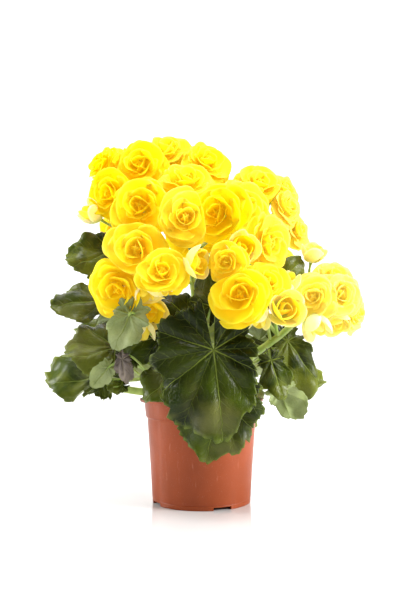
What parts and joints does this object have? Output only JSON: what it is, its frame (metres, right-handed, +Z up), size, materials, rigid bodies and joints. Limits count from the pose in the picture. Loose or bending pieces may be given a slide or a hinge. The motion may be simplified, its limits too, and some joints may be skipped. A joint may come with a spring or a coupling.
{
  "type": "potted begonia",
  "caption": "Potted flowering begonia: a dome of double yellow blooms over toothed green leaves and fleshy stems, standing in a plain terracotta-coloured plastic nursery pot",
  "frame": {"origin": "centre of the pot's foot, on the surface that it stands on", "axes": "+Z up along the pot and the plant, -Y towards the viewer of the picture (the front), +X to the right as seen from the front"},
  "size_m": [0.3138, 0.2421, 0.3617],
  "materials": {
    "pot": "satin terracotta-coloured moulded plastic with faint scuffs",
    "soil": "rough dark brown potting soil, moist and crumbly",
    "stem": "smooth pale green fleshy plant stem, soft waxy sheen",
    "leaf": "dark green leaf with paler veins and a soft gloss",
    "leaf_underside": "pale grey-green leaf underside, matte",
    "leaf_dry": "withered grey-brown leaf, dry and matte",
    "petal": "soft yellow petals with paler edges, velvety"
  },
  "bodies": {
    "root": {"pot": "pot", "soil": "soil", "stem_left": "stem", "stem_centre": "stem", "stem_front": "stem", "stem_right": "stem", "stem_far_right": "stem", "stem_back": "stem", "leaf_front_large": "leaf", "leaf_front_low": "leaf", "leaf_rim_left": "leaf", "leaf_left_large": "leaf", "leaf_left_low": "leaf", "leaf_left_small_pale": "leaf_underside", "leaf_left_upper": "leaf", "leaf_left_top": "leaf", "leaf_left_pale": "leaf_underside", "leaf_left_inner": "leaf", "leaf_left_dry": "leaf_dry", "leaf_right_hanging": "leaf", "leaf_right_pale": "leaf_underside", "leaf_right_dark": "leaf", "leaf_right_upper": "leaf", "leaf_centre_upper": "leaf", "leaf_centre_left": "leaf", "leaf_back_left": "leaf", "leaf_back_centre": "leaf", "leaf_back_right": "leaf", "leaf_back_low": "leaf", "leaf_side_left": "leaf", "leaf_side_right": "leaf", "bloom_left_rear": "petal", "bloom_upper_left": "petal", "bloom_top": "petal", "bloom_top_right": "petal", "bloom_left_high": "petal", "bloom_mid_left": "petal", "bloom_centre": "petal", "bloom_upper_centre": "petal", "bloom_centre_right": "petal", "bloom_front_left": "petal", "bloom_left_low": "petal", "bloom_front_cup": "petal", "bloom_right_top": "petal", "bloom_right_outer": "petal", "bloom_right_high": "petal", "bloom_right_mid": "petal", "bloom_centre_low": "petal", "bloom_front_right": "petal", "bloom_right_low": "petal", "bloom_right_bud": "petal", "bloom_right_tall": "petal", "bloom_far_right": "petal", "bloom_right_inner": "petal", "bloom_left_under": "petal", "bloom_back_left_top": "petal", "bloom_back_crown": "petal", "bloom_back_left": "petal", "bloom_back_right": "petal", "bloom_back_side": "petal"}
  },
  "joints": []
}
